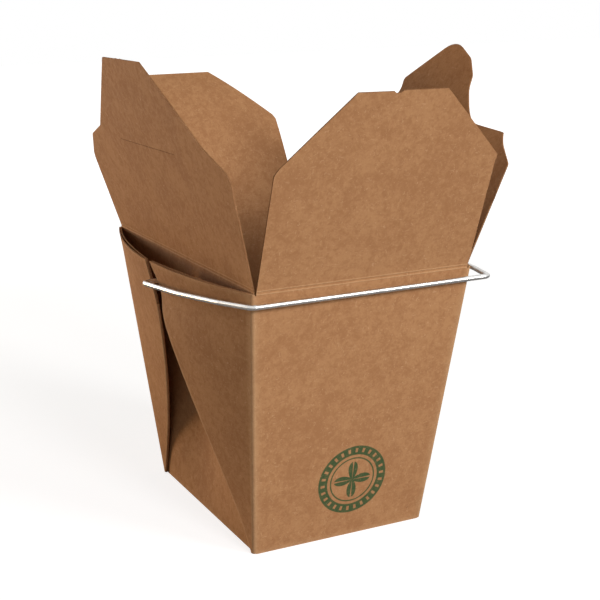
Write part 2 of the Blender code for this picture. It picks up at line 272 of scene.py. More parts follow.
# a plain printed roundel: a rayed ring round a four-leaf sprig. Outside of the front panel only
def roundPrint(tree, place, grain, colour):
    axes = newNode(tree, "ShaderNodeSeparateXYZ")
    feed(tree, axes.inputs[0], place.outputs["Object"])
    facing = newNode(tree, "ShaderNodeSeparateXYZ")
    feed(tree, facing.inputs[0], place.outputs["Normal"])
    radius = badge["radius"]
    across = doMath(tree, "DIVIDE", doMath(tree, "SUBTRACT", axes.outputs[0], badge["middle"][0]), radius)
    up = doMath(tree, "DIVIDE", doMath(tree, "SUBTRACT", axes.outputs[2], badge["middle"][1]), radius)
    reach = doMath(tree, "SQRT", doMath(tree, "ADD", doMath(tree, "MULTIPLY", across, across),
                                        doMath(tree, "MULTIPLY", up, up)))
    angle = doMath(tree, "ARCTAN2", up, across)
    soft = badge["soft"]

    def inside(value, limit):
        return spread(tree, value, limit + soft, limit - soft)

    def outside(value, limit):
        return spread(tree, value, limit - soft, limit + soft)

    ring = doMath(tree, "MULTIPLY", inside(reach, 1.0), outside(reach, badge["ringInside"]))
    ray = doMath(tree, "SINE", doMath(tree, "MULTIPLY", angle, badge["rays"]))
    rayFoot, rayTip = badge["rayBand"]
    band = doMath(tree, "MULTIPLY", inside(reach, rayTip), outside(reach, rayFoot))
    notch = doMath(tree, "MULTIPLY", band, spread(tree, ray, *badge["rayEdge"]))
    ring = doMath(tree, "SUBTRACT", ring, notch, clamp=True)
    petals = doMath(tree, "ABSOLUTE", doMath(tree, "COSINE", doMath(tree, "MULTIPLY", angle, 2.0)))
    petals = doMath(tree, "POWER", petals, badge["leafWidth"])
    lobe = doMath(tree, "MULTIPLY_ADD", petals, badge["leafReach"], badge["leafEye"])
    leaf = spread(tree, doMath(tree, "SUBTRACT", reach, lobe), soft, -soft)
    vein = doMath(tree, "ABSOLUTE", doMath(tree, "SINE", doMath(tree, "MULTIPLY", angle, 2.0)))
    leaf = doMath(tree, "MULTIPLY", leaf, spread(tree, vein, *badge["vein"]))
    lineFoot, lineTip = badge["line"]
    line = doMath(tree, "MULTIPLY", inside(reach, lineTip), outside(reach, lineFoot))
    mark = doMath(tree, "MAXIMUM", ring, doMath(tree, "MAXIMUM", leaf, line))
    forward = spread(tree, facing.outputs[1], -0.4, -0.6)
    frontHalf = spread(tree, axes.outputs[1], 0.0, -10 * mm)
    mark = doMath(tree, "MULTIPLY", doMath(tree, "MULTIPLY", mark, forward), frontHalf)
    worn = spread(tree, grain.outputs["Height"], 0.55, 1.25, 1.0, badge["thinned"])
    mark = doMath(tree, "MULTIPLY", mark, doMath(tree, "MULTIPLY", worn, badge["cover"]))
    return mixColour(tree, mark, colour, badge["ink"])


boardFace = kraftMaterial("kraft board, printed", {}, roundPrint)
boardFlap = kraftMaterial("kraft board, flaps", {})
boardEdge = kraftMaterial("cut edge of the board", {
    "light": shade(160, 116, 79), "dark": shade(134, 93, 61), "specks": 0.3, "tooth": 0.05})


steel = {
    "light": shade(226, 225, 222),
    "dull": shade(206, 205, 203),
    "roughness": (0.22, 0.36),
    "drawLines": 0.06,
    "lineDepth": 0.05 * mm,
    "lineStretch": (0.25, 5.0, 5.0),    # along the wire's bar and across it
    "cloudScale": 0.35,
}


def wireMaterial():
    material, tree, shader = startMaterial("bright drawn wire")
    place = newNode(tree, "ShaderNodeTexCoord")
    point = doVector(tree, "SCALE", place.outputs["Object"], scale=1000.0)
    cloud = noiseAt(tree, point, steel["cloudScale"], 3.0, 0.6, 0.5, 5.0)
    lengthwise = doVector(tree, "MULTIPLY", point, steel["lineStretch"])
    draw = noiseAt(tree, lengthwise, 1.0, 2.0, 0.6, 0.0, 9.0)
    colour = mixColour(tree, spread(tree, cloud, 0.35, 0.65), steel["light"], steel["dull"])
    feed(tree, shader.inputs["Base Color"], colour)
    shader.inputs["Metallic"].default_value = 1.0
    feed(tree, shader.inputs["Roughness"], spread(tree, draw, 0.3, 0.7, *steel["roughness"]))
    bump = newNode(tree, "ShaderNodeBump")
    bump.inputs["Strength"].default_value = steel["drawLines"]
    bump.inputs["Distance"].default_value = steel["lineDepth"]
    feed(tree, bump.inputs["Height"], draw)
    feed(tree, shader.inputs["Normal"], bump.outputs["Normal"])
    return material


brightWire = wireMaterial()
print("finishes made")


pail = {
    "baseWidth": 64.6 * mm,
    "baseDepth": 88.0 * mm,
    "rimWidth": 79.0 * mm,
    "rimDepth": 129.5 * mm,
    "height": 98.5 * mm,
    "board": 0.46 * mm,
    "plyPitch": 0.56 * mm,
    "foldStart": 1.2 * mm,
    "tipParting": 4.9 * mm,
    "topParting": 1.6 * mm,
    "bulge": 11.3 * mm,
    "frontBelly": 0.75,
    "backBelly": -0.95,
    "plySpread": 1.3 * mm,
    "pinch": 0.20,          # share of the front webs' bow that the wire takes away
    "pinchHeight": 88.0 * mm,
    "pinchSpan": 8.0 * mm,
    "sideCreaseRise": 0.5 * mm,
    "creaseReach": 1.0 * mm,    # board given to a crease strip, each side of its crease
    "webTopDrop": 0.4 * mm,
    "cornerRadius": 1.0 * mm,   # of the upright corners, to the middle of the board
    "rubAndHighlightWidth": 1.4 * mm,            # how far the lighter band beside a fold reaches: rubbed surface and painted highlight
    # shares of the lighter tone at each place: rubbed surface and painted highlight
    "rubbedAndHighlit": {"panel": 0.1, "corner": 0.5, "turn": 0.75, "fold": 0.8, "rim": 0.6},
    "warp": 0.22 * mm,          # unevenness of the flat panels
    "warpScale": 28,            # waves in a metre, of the front and back panels
    "endWarpScale": 24,
    "warpShare": 1.6,           # of the waves, beside the even part
    "endWarpShare": 1.4,
    "dent": 8.0 * mm,           # how far the end panels are pushed in, between their webs
    "dentTop": 86.0 * mm,
    "dentAt": 7.0 * mm,         # behind the middle
    "pivotDrop": 8.3 * mm,
    "holeRadius": 1.25 * mm,
    "rowsToTip": 40,
    "rowsAboveTip": 12,
    "panelSteps": 14,
    "plySteps": 24,
    "arcSteps": 6,
}


def halfWidth(z):
    return (pail["baseWidth"] + (pail["rimWidth"] - pail["baseWidth"]) * z / pail["height"]) / 2


def halfDepth(z):
    return (pail["baseDepth"] + (pail["rimDepth"] - pail["baseDepth"]) * z / pail["height"]) / 2


def webBow(z, belly):
    share = z / pail["height"]
    bow = pail["bulge"] * share * (1 + belly * (1 - share))
    if belly > 0:
        bow *= 1 - pail["pinch"] * math.exp(-((z - pail["pinchHeight"]) / pail["pinchSpan"]) ** 2)
    return bow


def foldSlope():
    wider = (pail["rimWidth"] - pail["baseWidth"]) / 2
    deeper = (pail["rimDepth"] - pail["baseDepth"]) / 2
    frontTaper = math.atan(wider / math.hypot(pail["height"], deeper))
    endTaper = math.atan(deeper / math.hypot(pail["height"], wider))
    angle = (math.pi / 2 - frontTaper - endTaper) / 2
    slant = math.hypot(pail["height"], wider) / pail["height"]
    return slant * (math.tan(angle - endTaper) + math.tan(endTaper))


def webTip():
    closing = foldSlope() - (pail["rimDepth"] - pail["baseDepth"]) / 2 / pail["height"]
    return (pail["baseDepth"] / 2 - pail["foldStart"] - pail["tipParting"]) / closing


def webReach(z, belly):
    depth = halfDepth(z)
    flat = pail["foldStart"] + z * foldSlope()
    slope = 2 * webBow(z, belly) / depth
    return flat - slope ** 2 * depth / 6 * (1 - max(0.0, 1 - flat / depth) ** 3)


def webEdge(z, belly):
    tip = webTip()
    if z <= tip:
        return halfDepth(z) - webReach(z, belly)
    atTip = halfDepth(tip) - webReach(tip, belly)
    share = (z - tip) / (pail["height"] - tip)
    return atTip + (pail["topParting"] - atTip) * share


# the board round the left front corner at one height, as (x, y, kind, share of wear and painted highlight)
# points
def cornerSection(z, belly):
    side, depth = halfWidth(z), halfDepth(z)
    pitch = pail["plyPitch"]
    bend = pitch / 2
    seat = depth - 1.5 * pitch
    edge = webEdge(z, belly)
    bow = webBow(z, belly)
    parting = pail["plySpread"] * (z / pail["height"]) ** 2
    arcSteps, plySteps, panelSteps = pail["arcSteps"], pail["plySteps"], pail["panelSteps"]

    def standOff(y):
        return bow * (1 - min(1.0, y / seat) ** 2)

    # the corner, the fold turns and the fold edge get a lighter tone: rubbed board and a painted highlight
    turnIn, rubbedAndHighlit = pail["cornerRadius"], pail["rubbedAndHighlit"]
    rubAndHighlightWidth = min(pail["rubAndHighlightWidth"], 0.4 * (depth - turnIn - edge))   # a web is narrow near its foot
    points = [(-side * i / panelSteps, -depth, "front", 0.0) for i in range(panelSteps)]
    points += [(-side + rubAndHighlightWidth, -depth, "front", rubbedAndHighlit["panel"]), (-side, -depth, "front", rubbedAndHighlit["corner"])]
    outer = -side - 2 * pitch
    for i in range(arcSteps + 1):
        turn = math.pi / 2 * i / arcSteps
        points.append((outer + turnIn * (1 - math.sin(turn)), -depth + turnIn * (1 - math.cos(turn)),
                       "web", rubbedAndHighlit["turn"]))
    start = depth - turnIn
    for i in range(1, plySteps + 1):
        y = start + (edge + rubAndHighlightWidth - start) * i / plySteps
        points.append((outer - standOff(y), -y, "web", 0.0))
    points.append((outer - standOff(edge), -edge, "web", rubbedAndHighlit["fold"]))
    mid = outer + bend - standOff(edge)
    for i in range(1, arcSteps):
        turn = math.pi * i / arcSteps
        points.append((mid - bend * math.cos(turn), -edge + bend * math.sin(turn), "fold", rubbedAndHighlit["fold"]))
    inner = -side - pitch
    for i in range(plySteps + 1):
        y = edge + (seat - edge) * i / plySteps
        along = (seat - y) / (seat - edge)
        gap = parting * 4 * along * (1 - along) * max(0.0, along)
        points.append((inner - standOff(y) + gap, -y, "web", 0.0))
    for i in range(1, arcSteps):
        turn = math.pi * i / arcSteps
        points.append((-side - bend - bend * math.cos(turn), -seat - bend * math.sin(turn), "web", 0.0))
    points.append((-side, -seat, "end", 0.0))
    return points


# one row of the left half's wall, from the front panel's middle to the back panel's
def wallRow(z, kindTops, tip, share):
    heights = {}
    for kind, top in kindTops.items():
        heights[kind] = z if share is None else tip + (top - tip) * share
    halves = []
    for belly, flip in ((pail["frontBelly"], 1), (pail["backBelly"], -1)):
        sections = {kind: cornerSection(height, belly) for kind, height in heights.items()}
        half = []
        for i, (_, _, kind, wearAndHighlight) in enumerate(sections["end"]):
            x, y, _, _ = sections[kind][i]
            half.append((x, y * flip, heights[kind], kind, wearAndHighlight))
        halves.append(half)
    front, back = halves
    x, y, endZ = front[-1][:3]
    backY = back[-1][1]
    steps = 2 * pail["panelSteps"]
    middle = [(x, y + (backY - y) * i / steps, endZ, "end", 0.0) for i in range(1, steps)]
    return front + middle + back[::-1], len(front) - 1, len(front) - 1 + steps


# pushes the flat panels slightly inwards, unevenly, fading out at their creases
def unevenPanels(mesh):
    reach = pail["board"] / 2 + 0.03 * mm
    for vertex in mesh.vertices:
        x, y, z = vertex.co
        side, depth = halfWidth(z), halfDepth(z)
        rise = math.sin(math.pi * min(1.0, max(0.0, z / pail["height"])))
        if abs(x) < side - reach and abs(abs(y) - depth) < 2 * reach:
            fade = rise * math.cos(math.pi / 2 * abs(x) / side)
            size = pail["warpScale"]
            wave = noise.noise(Vector((x * size, math.copysign(3.0, y), z * size)))
            vertex.co.y -= math.copysign(pail["warp"] * fade * (1.0 + pail["warpShare"] * wave), y)
        elif abs(y) < depth - 3 * pail["plyPitch"] and abs(abs(x) - side) < reach:
            fade = rise * math.cos(math.pi / 2 * abs(y) / depth)
            size = pail["endWarpScale"]
            wave = noise.noise(Vector((math.copysign(7.0, x), y * size, z * size)))
            foot = pail["board"] / 2
            height = min(1.0, max(0.0, (z - foot) / (pail["dentTop"] - foot)))
            aside = (y - pail["dentAt"]) / (depth - math.copysign(pail["dentAt"], y - pail["dentAt"]))
            across = math.cos(math.pi / 2 * min(1.0, abs(aside))) ** 3
            dent = pail["dent"] * math.sin(math.pi * height) * across
            warp = pail["warp"] * fade * (1.0 + pail["endWarpShare"] * wave)
            vertex.co.x -= math.copysign(dent + warp, x)


def foldPail():
    mesh = bmesh.new()
    wearAndHighlight = mesh.verts.layers.float.new("wearAndHighlight")
    foot, tip, height = pail["board"] / 2, webTip(), pail["height"]
    endLean = (pail["rimWidth"] - pail["baseWidth"]) / 2 / height
    frontLean = (pail["rimDepth"] - pail["baseDepth"]) / 2 / height
    tops = {
        "front": height - pail["creaseReach"] * math.cos(math.atan(frontLean)),
        "end": height + pail["sideCreaseRise"] - pail["creaseReach"] * math.cos(math.atan(endLean)),
        "web": height - pail["webTopDrop"],
    }
    tops["fold"] = tops["web"]
    lower, upper = pail["rowsToTip"], pail["rowsAboveTip"]
    rows = []
    for r in range(lower + upper + 1):
        share = None if r <= lower else (r - lower) / upper
        z = foot + (tip - foot) * (r / lower) if r <= lower else tip
        path, seatFront, seatBack = wallRow(z, tops, tip, share)
        rows.append([mesh.verts.new(p[:3]) if r <= lower or p[3] != "fold" else None for p in path])
        for vertex, p in zip(rows[-1], path):
            if vertex:
                # rims and folds are marked for the lighter tone: wear plus a painted highlight along those
                # edges
                atRim = r == 0 or (p[3] == "web" and r == lower + upper)
                vertex[wearAndHighlight] = max(p[4], pail["rubbedAndHighlit"]["rim"] if atRim else 0.0)
    kinds = [p[3] for p in path]
    for r in range(lower + upper):
        for i in range(len(path) - 1):
            corners = (rows[r][i], rows[r][i + 1], rows[r + 1][i + 1], rows[r + 1][i])
            openEdge = r >= lower and "fold" in (kinds[i], kinds[i + 1])
            if None in corners or openEdge:
                continue
            mesh.faces.new(corners)
    # the bottom, a grid between the front and back rows that keeps the wall's own points
    footRow = rows[0]
    panel = pail["panelSteps"] + 1
    steps = seatBack - seatFront
    frontLine = footRow[:panel + 1]
    backLine = footRow[::-1][:panel + 1]
    sideLine = footRow[seatFront:seatBack + 1]
    grid = []
    for j in range(steps + 1):
        line = [mesh.verts.new((frontLine[i].co.x, sideLine[j].co.y, foot)) for i in range(panel)]
        grid.append(line + [sideLine[j]])
    for a, b in [(frontLine, grid[0]), *zip(grid, grid[1:]), (grid[-1], backLine)]:
        for i in range(panel):
            mesh.faces.new((a[i], a[i + 1], b[i + 1], b[i]))
    bmesh.ops.recalc_face_normals(mesh, faces=mesh.faces)
    data = bpy.data.meshes.new("pail")
    mesh.to_mesh(data)
    mesh.free()
    body = addPiece("foldedPail", data)
    data.materials.append(boardFace)
    data.materials.append(boardEdge)
    mirror = body.modifiers.new("Mirror", "MIRROR")
    mirror.merge_threshold = 0.02 * mm
    wall = body.modifiers.new("Board", "SOLIDIFY")
    wall.thickness = pail["board"]
    wall.offset = 0.0
    wall.use_even_offset = True
    wall.material_offset_rim = 1
    cutter = bmesh.new()
    bmesh.ops.create_cone(cutter, cap_ends=True, segments=32, depth=pail["rimWidth"] * 1.2,
                          radius1=pail["holeRadius"], radius2=pail["holeRadius"])
    drillData = bpy.data.meshes.new("drill")
    cutter.to_mesh(drillData)
    cutter.free()
    drillData.materials.append(boardEdge)
    drill = addPiece("drill", drillData)
    drill.rotation_euler = (0, math.pi / 2, 0)
    drill.location = (0, 0, height - pail["pivotDrop"])
    holes = body.modifiers.new("Wire holes", "BOOLEAN")
    holes.object = drill
    holes.operation = "DIFFERENCE"
    holes.material_mode = "TRANSFER"
    body = settle(body)
    bpy.data.objects.remove(drill, do_unlink=True)
    unevenPanels(body.data)
    smoothShade(body, 42)
    return body


foldedPail = foldPail()
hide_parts("pail_body")
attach(foldedPail, "pail")
print("pail folded:", len(foldedPail.data.polygons), "faces")


flap = {
    "spacing": 2.4 * mm,       # between the points of a blank
    "foot": pail["creaseReach"],
    "unevenness": 0.3 * mm,
    "waveScale": 22.0,          # waves in a metre
    "waveFrom": 0.35,           # share of the length over which they fade in from the crease
    # outlines run from one end of the crease to the other: (across, up, rounding) in mm
    "front": {"lean": 21.4, "footHalf": 39.05 * mm, "halfWidth": 38.8 * mm, "length": 66.9 * mm,
              "outline": [(38.7, 41.1, 0.8), (37.4, 43.2, 0.8), (15.4, 66.9, 0.6), (3.3, 66.8, 0.0),
                          (2.5, 66.1, 0.0), (1.0, 66.3, 0.0), (0.2, 67.0, 0.0), (-15.2, 67.0, 0.6),
                          (-39.1, 42.8, 0.4), (-38.8, 40.6, 0.5)],
              "twist": -1.0, "curl": 0.0},
    "back": {"lean": 26.0, "footHalf": 39.05 * mm, "halfWidth": 38.9 * mm, "length": 66.9 * mm,
             "outline": [(38.5, 40.8, 0.8), (37.5, 42.9, 0.8), (15.0, 67.0, 0.8),
                         (-15.0, 67.0, 0.8), (-37.5, 42.9, 0.8), (-38.5, 40.8, 0.8)],
             "twist": 0.0, "curl": 8.0},
    "left": {"lean": 15.1, "footHalf": 64.15 * mm, "halfWidth": 69.5 * mm, "length": 71.5 * mm,
             "outline": [(68.7, 29.6, 5.0), (61.3, 38.9, 3.0), (47.2, 43.6, 2.0), (18.0, 71.35, 0.8),
                         (-18.0, 71.3, 0.8), (-54.3, 45.5, 8.0), (-68.4, 39.2, 2.0), (-70.0, 36.8, 1.2)],
             "twist": 0.9, "curl": 0.0,
             "slitAt": 40.5 * mm, "slitWidth": 0.15 * mm, "slitHalf": 26.4 * mm},
    "right": {"lean": 26.0, "footHalf": 64.15 * mm, "halfWidth": 69.5 * mm, "length": 77.5 * mm,
              "outline": [(69.5, 35.5, 1.6), (57.2, 46.0, 0.8), (31.4, 48.0, 18.0), (21.6, 60.6, 12.0),
                          (20.2, 65.8, 5.0), (13.6, 72.6, 8.0), (-1.4, 79.5, 11.0), (-25.0, 61.4, 1.8),
                          (-23.0, 55.4, 5.0), (-34.6, 47.4, 8.0), (-57.2, 46.2, 1.6), (-69.5, 35.4, 1.6)],
              "twist": -6.6, "twistFrom": 0.52, "twistTo": 0.68, "curl": 1.9},
}


def roundedOutline(points, radii, steps=6):
    result = []
    for i, (corner, radius) in enumerate(zip(points, radii)):
        corner = Vector(corner)
        if radius == 0:
            result.append(corner)
            continue
        back = (Vector(points[i - 1]) - corner).normalized()
        on = (Vector(points[(i + 1) % len(points)]) - corner).normalized()
        half = back.angle(on) / 2
        centre = corner + (back + on).normalized() * (radius / math.sin(half))
        start = (corner + back * (radius / math.tan(half)) - centre).normalized()
        finish = (corner + on * (radius / math.tan(half)) - centre).normalized()
        result += [centre + radius * start.slerp(finish, s / steps) for s in range(steps + 1)]
    return result


def flapOutline(sizes):
    foot = flap["foot"]
    points = [Vector((x, v)) * mm for x, v, _ in sizes["outline"]]
    ends = []
    for side, shoulder in ((1, points[0]), (-1, points[-1])):
        flare = (abs(shoulder.x) - sizes["footHalf"]) / shoulder.y
        ends.append(Vector((side * (sizes["footHalf"] + flare * foot), foot)))
    radii = [radius * mm for _, _, radius in sizes["outline"]]
    return roundedOutline([ends[0], *points, ends[1]], [0.0, *radii, 0.0])


def slitOutline(sizes):
    half, low = sizes["slitHalf"], sizes["slitAt"] - sizes["slitWidth"] / 2
    high = low + sizes["slitWidth"]
    corners = [(half, low), (half, high), (-half, high), (-half, low)]
    return roundedOutline(corners, [0.48 * sizes["slitWidth"]] * 4, 3)


# the closed loop with extra points along its long stretches
def stepped(loop, spacing):
    result = []
    for i, point in enumerate(loop):
        following = loop[(i + 1) % len(loop)]
        count = max(1, round((following - point).length / spacing))
        result += [point.lerp(following, s / count) for s in range(count)]
    return result


def isInside(point, loop):
    hit = False
    for i, a in enumerate(loop):
        b = loop[i - 1]
        if (a.y > point.y) != (b.y > point.y):
            if point.x < (b.x - a.x) * (point.y - a.y) / (b.y - a.y) + a.x:
                hit = not hit
    return hit


# a flat, evenly divided sheet inside the outline: x along the crease, y away from it
def flatBlank(name, outline, hole=None):
    spacing = flap["spacing"]
    loops = [stepped(loop, spacing * 0.6) for loop in (outline, hole) if loop]
    points, edges = [], []
    for loop in loops:
        first = len(points)
        points += [Vector((p.x, p.y)) for p in loop]
        edges += [(first + i, first + (i + 1) % len(loop)) for i in range(len(loop))]
    rim = list(points)
    width = max(p.x for p in rim)
    length = max(p.y for p in rim)
    row, y = 0, spacing
    while y < length:
        x = -width + (spacing / 2 if row % 2 else 0)
        while x < width:
            spot = Vector((x, y))
            if isInside(spot, loops[0]) and not (hole and isInside(spot, loops[1])) and \
                    min((spot - p).length_squared for p in rim) > (0.55 * spacing) ** 2:
                points.append(spot)
            x += spacing
        row, y = row + 1, y + spacing * 0.866   # rows of near equal-sided triangles
    scaled = [p * 1000 for p in points]  # the triangulator works best near unit size
    verts, _, faces, _, _, _ = delaunay_2d_cdt(scaled, edges, [], 0, 1e-5)
    mesh = bmesh.new()
    made = [mesh.verts.new((p.x * mm, p.y * mm, 0)) for p in verts]
    for face in faces:
        middle = sum((verts[i] for i in face), Vector((0, 0))) / len(face) * mm
        if isInside(middle, loops[0]) and not (hole and isInside(middle, loops[1])):
            mesh.faces.new([made[i] for i in face])
    bmesh.ops.delete(mesh, geom=[v for v in mesh.verts if not v.link_faces], context="VERTS")
    bmesh.ops.recalc_face_normals(mesh, faces=mesh.faces)
    if mesh.faces[0].normal.z < 0:
        bmesh.ops.reverse_faces(mesh, faces=mesh.faces)
    data = bpy.data.meshes.new(name)
    mesh.to_mesh(data)
    mesh.free()
    return data


# bends a flat blank about its crease, then gives it the board's thickness and finishes
def bentBoardTree():
    number = "NodeSocketFloat"
    tree, given, result = startGroup(
        "bentBoard",
        [("Blank", "NodeSocketGeometry", None), ("Half Width", number, 0.04), ("Length", number, 0.07),
         ("Twist", number, 0.0), ("Twist From", number, 1.0), ("Twist To", number, 2.0),
         ("Curl", number, 0.0),
         ("Unevenness", number, 0.0003), ("Seed", number, 0.0), ("Board", number, 0.00046),
         ("Face", "NodeSocketMaterial", None), ("Edge", "NodeSocketMaterial", None)],
        [("Flap", "NodeSocketGeometry")], "GeometryNodeTree")
    place = newNode(tree, "GeometryNodeInputPosition")
    axes = newNode(tree, "ShaderNodeSeparateXYZ")
    feed(tree, axes.inputs[0], place.outputs[0])
    side = doMath(tree, "DIVIDE", axes.outputs[0], given.outputs["Half Width"])
    along = doMath(tree, "DIVIDE", axes.outputs[1], given.outputs["Length"])
    stay = spread(tree, along, given.outputs["Twist From"], given.outputs["Twist To"], 1.0, 0.0)
    lean = doMath(tree, "MULTIPLY", doMath(tree, "MULTIPLY", side, given.outputs["Twist"]), stay)
    lean = doMath(tree, "MULTIPLY_ADD", doMath(tree, "MULTIPLY", along, along), given.outputs["Curl"], lean)
    turn = newNode(tree, "ShaderNodeVectorRotate", rotation_type="X_AXIS")
    feed(tree, turn.inputs["Vector"], place.outputs[0])
    feed(tree, turn.inputs["Angle"], doMath(tree, "MULTIPLY", lean, -math.pi / 180))
    wave = newNode(tree, "ShaderNodeTexNoise", noise_dimensions="4D")
    feed(tree, wave.inputs["Vector"], place.outputs[0])
    feed(tree, wave.inputs["W"], given.outputs["Seed"])
    wave.inputs["Scale"].default_value = flap["waveScale"]
    wave.inputs["Detail"].default_value = 1.0
    fade = spread(tree, along, 0.0, flap["waveFrom"])
    lift = doMath(tree, "MULTIPLY", doMath(tree, "SUBTRACT", wave.outputs["Fac"], 0.5),
                  doMath(tree, "MULTIPLY", given.outputs["Unevenness"], fade))
    offset = newNode(tree, "ShaderNodeCombineXYZ")
    feed(tree, offset.inputs[2], lift)
    bend = newNode(tree, "GeometryNodeSetPosition")
    feed(tree, bend.inputs["Geometry"], given.outputs["Blank"])
    feed(tree, bend.inputs["Position"], turn.outputs[0])
    feed(tree, bend.inputs["Offset"], offset.outputs[0])
    normal = newNode(tree, "GeometryNodeInputNormal")
    shift = newNode(tree, "GeometryNodeSetPosition")
    feed(tree, shift.inputs["Geometry"], bend.outputs[0])
    feed(tree, shift.inputs["Offset"], doVector(tree, "SCALE", normal.outputs[0],
         scale=doMath(tree, "MULTIPLY", given.outputs["Board"], -0.5)))
    thick = newNode(tree, "GeometryNodeExtrudeMesh", mode="FACES")
    feed(tree, thick.inputs["Mesh"], shift.outputs[0])
    feed(tree, thick.inputs["Offset Scale"], given.outputs["Board"])
    feed(tree, thick.inputs["Individual"], False)
    wall = newNode(tree, "GeometryNodeStoreNamedAttribute", data_type="BOOLEAN", domain="FACE")
    feed(tree, wall.inputs["Geometry"], thick.outputs["Mesh"])
    feed(tree, wall.inputs["Name"], "cutEdge")
    feed(tree, wall.inputs["Value"], thick.outputs["Side"])
    under = newNode(tree, "GeometryNodeFlipFaces")
    feed(tree, under.inputs["Mesh"], shift.outputs[0])
    both = newNode(tree, "GeometryNodeJoinGeometry")
    tree.links.new(wall.outputs[0], both.inputs[0])
    tree.links.new(under.outputs[0], both.inputs[0])
    weld = newNode(tree, "GeometryNodeMergeByDistance")
    feed(tree, weld.inputs["Geometry"], both.outputs[0])
    feed(tree, weld.inputs["Distance"], 0.002 * mm)
    whole = newNode(tree, "GeometryNodeRealizeInstances")
    feed(tree, whole.inputs[0], weld.outputs[0])
    faces = newNode(tree, "GeometryNodeSetMaterial")
    feed(tree, faces.inputs["Geometry"], whole.outputs[0])
    feed(tree, faces.inputs["Material"], given.outputs["Face"])
    isWall = newNode(tree, "GeometryNodeInputNamedAttribute", data_type="BOOLEAN")
    isWall.inputs["Name"].default_value = "cutEdge"
    edges = newNode(tree, "GeometryNodeSetMaterial")
    feed(tree, edges.inputs["Geometry"], faces.outputs[0])
    feed(tree, edges.inputs["Selection"], isWall.outputs["Attribute"])
    feed(tree, edges.inputs["Material"], given.outputs["Edge"])
    feed(tree, result.inputs[0], edges.outputs[0])
    return tree


def runNodes(piece, tree, values):
    modifier = piece.modifiers.new(tree.name, "NODES")
    modifier.node_group = tree
    for item in tree.interface.items_tree:
        if item.item_type == "SOCKET" and item.in_out == "INPUT" and item.name in values:
            modifier[item.identifier] = values[item.name]
    return settle(piece)


bentBoard = bentBoardTree()


def hangFlap(side, crease, turn, hole=None, seed=0.0):
    sizes, node = flap[side], side + "_flap"
    blank = addPiece(side + "Flap", flatBlank(side + "Blank", flapOutline(sizes), hole))
    piece = runNodes(blank, bentBoard, {
        "Half Width": sizes["halfWidth"], "Length": sizes["length"],
        "Twist": sizes["twist"], "Twist From": sizes.get("twistFrom", 1.0),
        "Twist To": sizes.get("twistTo", 2.0), "Curl": sizes["curl"],
        "Unevenness": flap["unevenness"], "Seed": seed,
        "Board": pail["board"], "Face": boardFlap, "Edge": boardEdge})
    upright = Matrix.Rotation(math.radians(turn), 4, "Z") @ \
        Matrix.Rotation(math.radians(90 - sizes["lean"]), 4, "X")
    piece.data.transform(Matrix.Translation(crease) @ upright)
    smoothShade(piece, 40)
    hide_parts(node)
    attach(piece, node)    # each flap's body has its node's name
    return piece


halfRimX, halfRimY = pail["rimWidth"] / 2, pail["rimDepth"] / 2
sideCrease = pail["height"] + pail["sideCreaseRise"]
hangFlap("front", (0, -halfRimY, pail["height"]), 180, seed=1.0)
hangFlap("back", (0, halfRimY, pail["height"]), 0, seed=2.0)
hangFlap("left", (-halfRimX, 0, sideCrease), 90, slitOutline(flap["left"]), seed=3.0)
hangFlap("right", (halfRimX, 0, sideCrease), 270, seed=4.0)
print("flaps hung")


crease = {
    "reach": pail["creaseReach"],
    "scoreSpread": 0.62 * mm,   # from the middle to each score line
    "scoreWidth": 0.20 * mm,
    "scoreRise": 0.09 * mm,
    "innerRise": 0.6,           # how much of that rise the inner face follows
    "hold": 0.9,                # a share of a strip's reach
    "sideFlare": 0.14,          # how much a side strip widens sideways for each unit of height
    "steps": 20,
    "runSteps": 40,
}


# a scored strip from the panel's top edge to the foot of the flap
def creaseStrip(name, halfRun, middle, turn, panelLean, flapLean, flare=0.0, twist=0.0):
    mesh = bmesh.new()
    wearAndHighlight = mesh.verts.layers.float.new("wearAndHighlight")
    board = pail["board"] / 2
    rings = []
    count = crease["runSteps"]
    for r in range(count + 1):
        share = 2 * r / count - 1
        lean = flapLean + twist * share
        ring = []
        profile = []
        for s in range(crease["steps"] + 1):
            along = crease["reach"] * (2 * s / crease["steps"] - 1)
            blend = along / crease["reach"] / 2 + 0.5
            direction = math.radians(panelLean if along < 0 else lean)
            across = math.radians(panelLean + (lean - panelLean) * blend)
            bead = sum(math.exp(-((along - at) / crease["scoreWidth"]) ** 2)
                       for at in (-crease["scoreSpread"], crease["scoreSpread"])) * crease["scoreRise"]
            centre = Vector((0, along * math.sin(direction), along * math.cos(direction)))
            out = Vector((0, math.cos(across), -math.sin(across)))
            half = (halfRun + flare * max(0.0, along)) * share
            profile.append((half, centre, out, bead))
        for half, centre, out, bead in profile:
            ring.append(mesh.verts.new(Vector((half, 0, 0)) + centre + out * (board + bead)))
            # the score beads are marked lighter: a painted highlight on the raised score lines, with some
            # rubbing
            ring[-1][wearAndHighlight] = min(1.0, bead / crease["scoreRise"])
        for half, centre, out, bead in reversed(profile):
            inward = board - bead * crease["innerRise"]
            ring.append(mesh.verts.new(Vector((half, 0, 0)) + centre - out * inward))
        rings.append(ring)
    size = len(rings[0])
    for a, b in zip(rings, rings[1:]):
        for i in range(size):
            face = mesh.faces.new((a[i], a[(i + 1) % size], b[(i + 1) % size], b[i]))
            face.material_index = 0
    for ring in (rings[0], rings[-1]):
        mesh.faces.new(ring).material_index = 1
    bmesh.ops.recalc_face_normals(mesh, faces=mesh.faces)
    data = bpy.data.meshes.new(name)
    mesh.to_mesh(data)
    mesh.free()
    data.materials.append(boardFlap)
    data.materials.append(boardEdge)
    place = Matrix.Translation(middle) @ Matrix.Rotation(math.radians(turn), 4, "Z")
    data.transform(place)
    strip = addPiece(name, data)
    smoothShade(strip, 50)
    outward = place.to_3x3() @ Vector((0, 1, 0))

    def slope(degrees):
        return Vector((0, 0, math.cos(math.radians(degrees)))) + outward * math.sin(math.radians(degrees))

    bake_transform(strip)
    return strip


